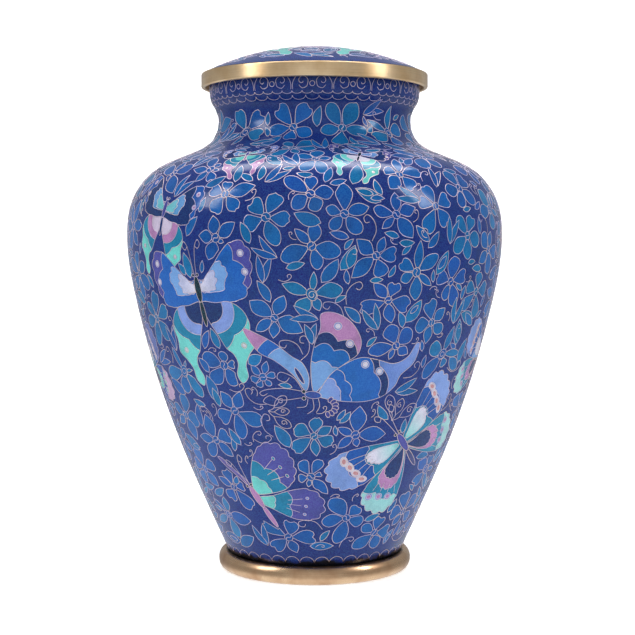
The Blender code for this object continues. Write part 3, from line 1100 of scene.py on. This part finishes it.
def front_butterflies(sheet):
    """The butterflies that face the front, with two sprays of bare leaves."""
    blue = swallowtail(PURPLE, SKY, PALE_BLUE, CREAM, TEAL, MINT, CREAM)
    rosy = swallowtail(CORNFLOWER, DEEP_NAVY, TEAL, MINT, TEAL, MINT, PINK, PINK, between(0.3, CREAM, PINK))
    fan = fan_wings(PALE_LAVENDER, CORNFLOWER, MINT, TEAL, MINT, TEAL, PINK, CORAL)
    pale = swallowtail(PALE_LAVENDER, DEEP_NAVY, CORNFLOWER, MINT, TEAL, PINK, PALE_BLUE, TEAL, MINT)
    dusky = swallowtail(PURPLE, DEEP_NAVY, SKY, PALE_BLUE, TEAL, MINT, PALE_BLUE, MINT, CREAM)
    butterfly(sheet, at(-35.7, 138.6), blue, 6.0, 0.96, MONARCH, near_side=0.98)
    butterfly(sheet, at(-47.4, 172.4), rosy, -12.0, 0.70, (PURPLE, DEEP_NAVY), feelers=False)
    gliding(sheet, at(-2.8, 86.8), 0.98)
    leaf_loops(sheet, at(28.6, 73.6), -24.0, 0.72)
    leaf_loops(sheet, at(-16.0, 79.0), -92.0, 0.62)
    butterfly(sheet, at(33.0, 66.4), fan, 42.0, 0.98, (PURPLE, tint(70, 56, 110)))
    resting = alighting(PURPLE, MAUVE, TEAL, MAUVE)
    butterfly(sheet, at(-29.3, 40.4), resting, 24.0, 0.96, BLUSH, mirrored=False)
    butterfly(sheet, at(-26.0, 203.6), pale, 14.0, 0.42, (PURPLE, PINK), feelers=False)
    butterfly(sheet, at(17.5, 202.6), dusky, -24.0, 0.46, MONARCH, feelers=False)


def other_butterflies(sheet, rng):
    """The butterflies on the sides and the back, of the same kinds."""
    blue = swallowtail(PURPLE, SKY, PALE_BLUE, CREAM, TEAL, MINT, CREAM)
    rosy = swallowtail(CORNFLOWER, DEEP_NAVY, TEAL, MINT, TEAL, MINT, PINK, PINK, CREAM)
    creamy_fan = fan_wings(PALE_LAVENDER, SKY, CREAM, PALE_BLUE, MINT, TEAL, PINK, CORAL)
    purple_fan = fan_wings(PURPLE, SKY, MINT, TEAL, PINK, CORNFLOWER, MINT, CREAM)
    minty_fan = fan_wings(MINT, TEAL, PINK, PURPLE, PALE_LAVENDER, SKY, CORAL, PINK)
    pale_fan = fan_wings(PALE_LAVENDER, CORNFLOWER, MINT, TEAL, MINT, TEAL, PINK, CORAL)
    pink_winged = alighting(PURPLE, MAUVE, TEAL, PINK)
    mauve_winged = alighting(MAUVE, PURPLE, TEAL, MAUVE)
    butterfly(sheet, at(79.0, 104.0), creamy_fan, -14.0, 0.80, VIOLET)
    butterfly(sheet, at(-84.0, 98.0), purple_fan, 22.0, 0.84, MONARCH)
    butterfly(sheet, at(96.0, 168.0), blue, 20.0, 0.86, MONARCH)
    butterfly(sheet, at(137.0, 118.0), minty_fan, -28.0, 0.94, (PURPLE, DEEP_NAVY))
    gliding(sheet, at(168.0, 66.0), 0.92)
    butterfly(sheet, at(-173.0, 158.0), rosy, -8.0, 0.90, VIOLET)
    butterfly(sheet, at(-127.0, 150.0), pink_winged, -20.0, 1.02, BLUSH, mirrored=False)
    butterfly(sheet, at(-140.0, 56.0), pale_fan, -40.0, 0.88, VIOLET)
    butterfly(sheet, at(103.0, 44.0), mauve_winged, 18.0, 0.90, BLUSH, mirrored=False)
    for degrees, small in ((98.0, 0.44), (152.0, 0.42), (-150.0, 0.45), (-92.0, 0.42)):
        butterfly(sheet, at(degrees, 203.0), blue, rng.uniform(-30, 30), small, MONARCH, feelers=False)


def scallops(half, drop, deep, lobes):
    """A row of hanging lobes, from one side of a scroll to the other."""
    wide = half / lobes
    line = []
    for lobe in range(lobes):
        a = np.linspace(0.0, math.pi, 8)[: 8 if lobe == lobes - 1 else 7]
        line.append(np.stack([wide * (2 * lobe + 1 - np.cos(a)) - half, drop - deep * np.sin(a)], axis=1))
    return np.concatenate(line)


def scroll_band(sheet):
    """The band under the lid: arches with a ring between two scrolls, over two rows of scallops."""
    wall = sheet.skin
    for k in range(SCROLLS):
        middle = (FULL_TURN * (k + 0.45) / SCROLLS - math.pi, wall.end - 5.6)
        half = math.pi * wall.girth(middle[1]) / SCROLLS
        arch = [(-half + 0.5, -3.6), (-half + 0.5, -0.6), (-half + 2.4, 2.5), (-3.0, 3.6), (0.0, 3.9),
                (3.0, 3.6), (half - 2.4, 2.5), (half - 0.5, -0.6), (half - 0.5, -3.6)]
        sheet.strand(middle, rounded(arch, 0.8, closed=False))
        sheet.strand(middle, oval(0.0, -1.0, 1.15, 1.15, 0.0, 14)[list(range(14)) + [0]])
        foot = rounded([(1.9, 0.2), (2.4, -2.2), (4.6, -3.0), (6.0, -1.6)], 0.8, closed=False)
        for hand in (-1.0, 1.0):
            sheet.strand(middle, curl(4.5, 0.2, 2.8, 196.0, -350.0, 16) * [hand, 1.0])
            sheet.strand(middle, foot * [hand, 1.0])
        for drop, lobes, deep in ((-4.2, 4, 1.3), (-6.4, 3, 2.1)):
            narrower = half * wall.girth(middle[1] + drop) / wall.girth(middle[1])
            sheet.strand(middle, scallops(narrower, drop, deep, lobes))


def foot_arches(sheet):
    """The row of small arches that stands on the foot ring."""
    half = math.pi * sheet.skin.girth(1.2) / ARCHES
    a = np.linspace(0.0, math.pi, 9)
    for k in range(ARCHES):
        middle = (FULL_TURN * (k + 0.5) / ARCHES - math.pi, 1.2)
        sheet.strand(middle, np.stack([-half * np.cos(a), 3.4 * np.sin(a)], axis=1))


rng = random.Random(27)

vessel_outline = section("urn_body")
lip = max(range(len(vessel_outline)), key=lambda k: vessel_outline[k][1])
mouth = next(k for k, (_, z) in enumerate(vessel_outline) if z > vessel_outline[lip][1] - 1e-3)
foot_edge = max(range(5), key=lambda k: (-round(vessel_outline[k][1], 3), vessel_outline[k][0]))
wall = VesselSkin(vessel_outline[foot_edge:mouth])
dome_low, dome_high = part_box("lid_dome")
dome = DomeSkin(dome_high.x / MM, dome_low.z / MM, dome_high.z / MM)

band_low = wall.end - 14.0
side = Drawing(wall)
front_butterflies(side)
other_butterflies(side, rng)
scroll_band(side)
foot_arches(side)
neck_row = []
for k in range(NECK_FLOWERS):
    turn_round = FULL_TURN * (k + rng.uniform(-0.12, 0.12)) / NECK_FLOWERS - math.pi
    neck_row.append((turn_round, 225.6 + rng.uniform(-1.2, 1.2)))
level_lines = [level_line(band_low - 0.4), level_line(5.6)]
plant(side, rng, 9.0, band_low - 5.0, FLOWER_SPACING, neck_row, fences=level_lines)

top = Drawing(dome)
lid_wings = swallowtail(PURPLE, SKY, CORNFLOWER, PALE_BLUE, TEAL, MINT, CREAM, TEAL, MINT)
butterfly(top, (0.0, 10.0), lid_wings, 0.0, 1.04, MONARCH)
rim_fence = np.array([(50.6 * math.cos(a), 50.6 * math.sin(a)) for a in np.linspace(0.0, FULL_TURN, 200)])
front_fence = np.array([(40.0 * math.sin(a), -40.0 * math.cos(a)) for a in np.linspace(-0.8, 0.8, 60)])
plant(top, rng, 0.0, 45.0, 14.0, fences=[rim_fence, front_fence], longest=9.5, tries=900)

# The enamelled pieces


def vessel_border(skin, rows, angles):
    """The edge of the unrolled wall, with a point on its seam for each row of the net."""
    bottom = np.stack([angles, np.zeros(len(angles))], axis=1)
    upper = np.stack([angles[::-1], np.full(len(angles), skin.end)], axis=1)
    right = np.stack([np.full(len(rows), math.pi), rows], axis=1)
    left = np.stack([np.full(len(rows), -math.pi), rows[::-1]], axis=1)
    return np.concatenate([bottom, right, upper, left])


def net_rows(skin):
    """Heights of the net that carries the enamel's curve, closer where the wall bends."""
    bend = np.abs(np.gradient(np.arctan2(skin.up, skin.out), skin.along))
    measure = np.concatenate([[0.0], np.cumsum(np.diff(skin.along) * (1.0 / NET_STEP + bend[1:] * 7.0))])
    count = int(measure[-1])
    return np.interp(np.linspace(0.0, measure[-1], count + 1), measure, skin.along)[1:-1]


def under_wires(sheet, low):
    """The points of the loose wires above a height, so that the enamel doesn't bulge over them."""
    spots = np.concatenate(sheet.strands)
    spots[:, 0] = (spots[:, 0] + math.pi) % FULL_TURN - math.pi
    return spots[spots[:, 1] > low]


def lined(shell, linings, skin):
    """Joins an enamelled skin to its linings, closes the seams, and shades it by its own curve."""
    deselect()
    for lining in linings:
        charts = lining.data.uv_layers
        chart = charts[0] if charts else charts.new()
        chart.name = "OFBake"
        paint = lining.data.color_attributes.new("glaze", "FLOAT_COLOR", "CORNER")
        paint.data.foreach_set("color", [*COBALT, 1.0] * len(lining.data.loops))
        lining.select_set(True)
    shell.select_set(True)
    bpy.context.view_layer.objects.active = shell
    bpy.ops.object.join()
    bpy.ops.object.mode_set(mode="EDIT")
    bpy.ops.mesh.select_mode(type="VERT")
    bpy.ops.mesh.select_all(action="DESELECT")
    bpy.ops.mesh.select_non_manifold()
    bpy.ops.mesh.remove_doubles(threshold=6e-6)
    bpy.ops.mesh.select_all(action="SELECT")
    bpy.ops.mesh.normals_make_consistent(inside=False)
    bpy.ops.object.mode_set(mode="OBJECT")

    mesh = shell.data
    mesh.shade_smooth()
    normals = np.zeros(len(mesh.vertices) * 3)
    places = np.zeros(len(mesh.vertices) * 3)
    mesh.vertices.foreach_get("normal", normals)
    mesh.vertices.foreach_get("co", places)
    normals, places = normals.reshape(-1, 3), places.reshape(-1, 3)
    gaps, true_normals = skin.nearest(places)
    normals[gaps < SKIN_REACH] = true_normals[gaps < SKIN_REACH]
    mesh.normals_split_custom_set_from_vertices([tuple(n) for n in normals])


def quarter_name(run):
    """The quarter of the vessel that a run of wire lies on."""
    angle = (run[:, 0].mean() + math.pi) % FULL_TURN - math.pi
    ahead = "front" if abs(angle) < math.pi / 2 else "back"
    hand = "left" if angle < 0.0 else "right"
    return f"wires_{ahead}_{hand}"


rows = net_rows(wall)
angles = -math.pi + FULL_TURN * np.arange(SIDES + 1) / SIDES
net = np.array([(a, s) for s in rows for a in angles[1:-1:3]])
net = np.concatenate([net, under_wires(side, band_low - 9.0)])
body, body_runs = inlay("urn_enamel", side, vessel_border(wall, rows, angles), net, COBALT)
inside = lathe("vessel inside", vessel_outline[mouth - 1 :] + [(0.0, vessel_outline[-1][1])])
under = lathe("vessel underside", vessel_outline[foot_edge::-1] + [(0.0, vessel_outline[0][1])])
lined(body, [inside, under], wall)

rim_angles = np.arange(SIDES) * FULL_TURN / SIDES
rim_border = np.stack([dome.edge * np.cos(rim_angles), dome.edge * np.sin(rim_angles)], axis=1)
dome_net = np.array(
    [(r * math.cos(a), r * math.sin(a)) for r in np.arange(4.0, dome.edge - 1.0, 4.0)
     for a in np.arange(0, FULL_TURN - 1e-9, NET_STEP / r)]
)
lid, lid_runs = inlay("lid_enamel", top, rim_border, dome_net, COBALT)
dome_outline = section("lid_dome")
edge_at = max(range(len(dome_outline)), key=lambda k: dome_outline[k][0])
lined(lid, [lathe("lid underside", dome_outline[: edge_at + 1][::-1])], dome)

quarters = {f"wires_{name}": [] for name in ("front_left", "front_right", "back_right", "back_left")}
for run in body_runs + side.strands:
    quarters[quarter_name(run)].append(run)
side_wires = [wires(name, wall, runs) for name, runs in quarters.items()]
lid_wires = wires("wires_lid", dome, lid_runs + top.strands, LID_WIRE_WIDTH)

gilding = wire_finish()
dressed(body, "blue_enamel", enamel_finish("polished enamel"), "urn_body")
dressed(lid, "lid_enamel", enamel_finish("polished lid enamel"), "lid_dome")
for piece in side_wires:
    dressed(piece, "blue_enamel", gilding)
dressed(lid_wires, "lid_enamel", gilding)

# The brass pieces


def rounded_section(points, width, segments=3):
    """Cuts the corners of a closed outline to small arcs."""
    made = []
    p = np.array(points)
    for i in range(len(p)):
        a, b, c = p[i - 1], p[i], p[(i + 1) % len(p)]
        back, on = a - b, c - b
        cut = min(width, 0.45 * np.linalg.norm(back), 0.45 * np.linalg.norm(on))
        start = b + back / np.linalg.norm(back) * cut
        end = b + on / np.linalg.norm(on) * cut
        for t in np.linspace(0.0, 1.0, segments + 1):
            made.append(tuple((1 - t) ** 2 * start + 2 * t * (1 - t) * b + t * t * end))
    return made


lid_brass = lathe("brass_rim", rounded_section(section("lid_rim"), 0.35), closed=True)
foot_brass = lathe("brass_foot", [tuple(p) for p in rounded(section("foot_ring"), 0.6)], closed=True)
for piece in (lid_brass, foot_brass):
    piece.data.shade_smooth()
    piece.data.set_sharp_from_angle(angle=math.radians(38.0))
satin = brass_finish("brushed brass", tint(240, 214, 176), tint(222, 190, 146), 0.3, 0.34, 0.44, 0.9)
dull = brass_finish("dulled brass", tint(222, 192, 158), tint(192, 154, 122), 0.4, 0.24, 0.40, 0.3, 0.0418)
dressed(lid_brass, "rim_brass", satin, "lid_rim")
dressed(foot_brass, "foot_brass", dull, "foot_ring")

# The studio

PHOTO_SIDE = 635
SHIFT_PIXELS = -74.5
CAMERA_PLACE = (0.0014, -0.676, 0.1535)


def paper_sweep():
    """A floor that curves up into a back wall."""
    deselect()
    bpy.ops.mesh.primitive_plane_add(size=1.0)
    sweep = bpy.context.object
    sweep.name = "studio floor"
    bpy.ops.object.mode_set(mode="EDIT")
    bpy.ops.transform.resize(value=(3.0, 1.75, 1.0))
    bpy.ops.transform.translate(value=(0.0, 0.625, 0.0))
    bpy.ops.mesh.select_all(action="DESELECT")
    bpy.ops.object.mode_set(mode="OBJECT")
    select_back_edge(sweep)
    bpy.ops.mesh.extrude_edges_move(TRANSFORM_OT_translate={"value": (0.0, 0.0, 1.1)})
    bpy.ops.object.mode_set(mode="OBJECT")
    select_back_edge(sweep)
    bpy.ops.mesh.bevel(offset=0.45, segments=24, affect="EDGES")
    bpy.ops.object.mode_set(mode="OBJECT")
    sweep.data.shade_smooth()
    return sweep


def select_back_edge(sweep):
    """Opens the sweep for editing with only its floor's back edge selected."""
    corners = sweep.data.vertices
    for edge in sweep.data.edges:
        edge.select = all(corners[v].co.y > 1.0 and abs(corners[v].co.z) < 0.01 for v in edge.vertices)
    bpy.ops.object.mode_set(mode="EDIT")
    bpy.ops.mesh.select_mode(type="EDGE")


def fading(tree, value, from_low, from_high, low, high):
    """A brightness that goes smoothly from low to high as a value rises."""
    made = tree.nodes.new("ShaderNodeMapRange")
    made.interpolation_type = "SMOOTHSTEP"
    for key, number in (("From Min", from_low), ("From Max", from_high), ("To Min", low), ("To Max", high)):
        made.inputs[key].default_value = number
    tree.links.new(value, made.inputs["Value"])
    return made.outputs["Result"]


def studio_air():
    """The light from all round: brightest behind the camera and from below, as off a pale floor."""
    world = bpy.data.worlds.new("studio air")
    bpy.context.scene.world = world
    world.use_nodes = True
    tree = world.node_tree
    sky = tree.nodes["Background"]
    sky.inputs["Color"].default_value = (0.95, 0.97, 1.0, 1.0)
    outward = tree.nodes.new("ShaderNodeTexCoord")
    parts = tree.nodes.new("ShaderNodeSeparateXYZ")
    brighter = tree.nodes.new("ShaderNodeMath")
    brighter.operation = "MAXIMUM"
    tree.links.new(outward.outputs["Generated"], parts.inputs["Vector"])
    tree.links.new(fading(tree, parts.outputs["Y"], -1.0, -0.72, 0.66, 0.38), brighter.inputs[0])
    tree.links.new(fading(tree, parts.outputs["Z"], -0.60, -0.10, 1.0, 0.30), brighter.inputs[1])
    tree.links.new(brighter.outputs["Value"], sky.inputs["Strength"])


def softbox(name, azimuth, elevation, distance, wide, tall, power, mirrored=True):
    """An area light that looks at the urn from a direction, given in degrees round from the camera."""
    a, e = math.radians(azimuth), math.radians(elevation)
    aim = Vector((0.0, 0.0, 0.14))
    way = Vector((math.sin(a) * math.cos(e), -math.cos(a) * math.cos(e), math.sin(e)))
    lamp = bpy.data.lights.new(name, "AREA")
    lamp.shape = "RECTANGLE"
    lamp.size, lamp.size_y = wide, tall
    lamp.energy = power
    made = bpy.data.objects.new(name, lamp)
    made.visible_glossy = mirrored
    made.location = aim + way * distance
    made.rotation_euler = (-way).to_track_quat("-Z", "Y").to_euler()
    bpy.context.scene.collection.objects.link(made)


def studio_camera():
    """A level camera with a long lens, shifted down to frame the urn."""
    lens = bpy.data.cameras.new("studio camera")
    lens.sensor_width = 36.0
    lens.lens = 80.0
    lens.shift_y = SHIFT_PIXELS / PHOTO_SIDE
    lens.clip_start = 0.05
    made = bpy.data.objects.new("studio camera", lens)
    made.location = CAMERA_PLACE
    made.rotation_euler = (math.pi / 2, 0.0, 0.0)
    bpy.context.scene.collection.objects.link(made)
    return made


floor = paper_sweep()
paper = Finish("pale paper", (0.90, 0.90, 0.90), 0.0, 0.75)
paper.set("Roughness", paper.spread(paper.cloud(60.0), 0.3, 0.7, 0.70, 0.80))
# The paper glows a little: painted light that lifts the urn's shadow on the floor and lights the urn from
# below.
paper.shader.inputs["Emission Color"].default_value = (1.0, 1.0, 1.0, 1.0)
paper.shader.inputs["Emission Strength"].default_value = 0.34
floor.data.materials.append(paper.material)
floor.visible_glossy = False

studio_air()
softbox("left softbox", -68.0, 34.0, 1.3, 0.30, 0.62, 4.6)
softbox("right softbox", 72.0, 34.0, 1.3, 0.26, 0.62, 4.0)
softbox("top softbox", 180.0, 82.0, 1.4, 0.8, 0.5, 1.9)
softbox("front fill", 0.0, 28.0, 1.3, 0.7, 0.5, 4.0, mirrored=False)
softbox("backdrop light", 180.0, 74.0, 1.5, 1.6, 0.5, 13.0)
bpy.context.scene.camera = studio_camera()
bpy.context.scene.view_settings.view_transform = "Standard"
bpy.context.scene.view_settings.look = "Medium High Contrast"
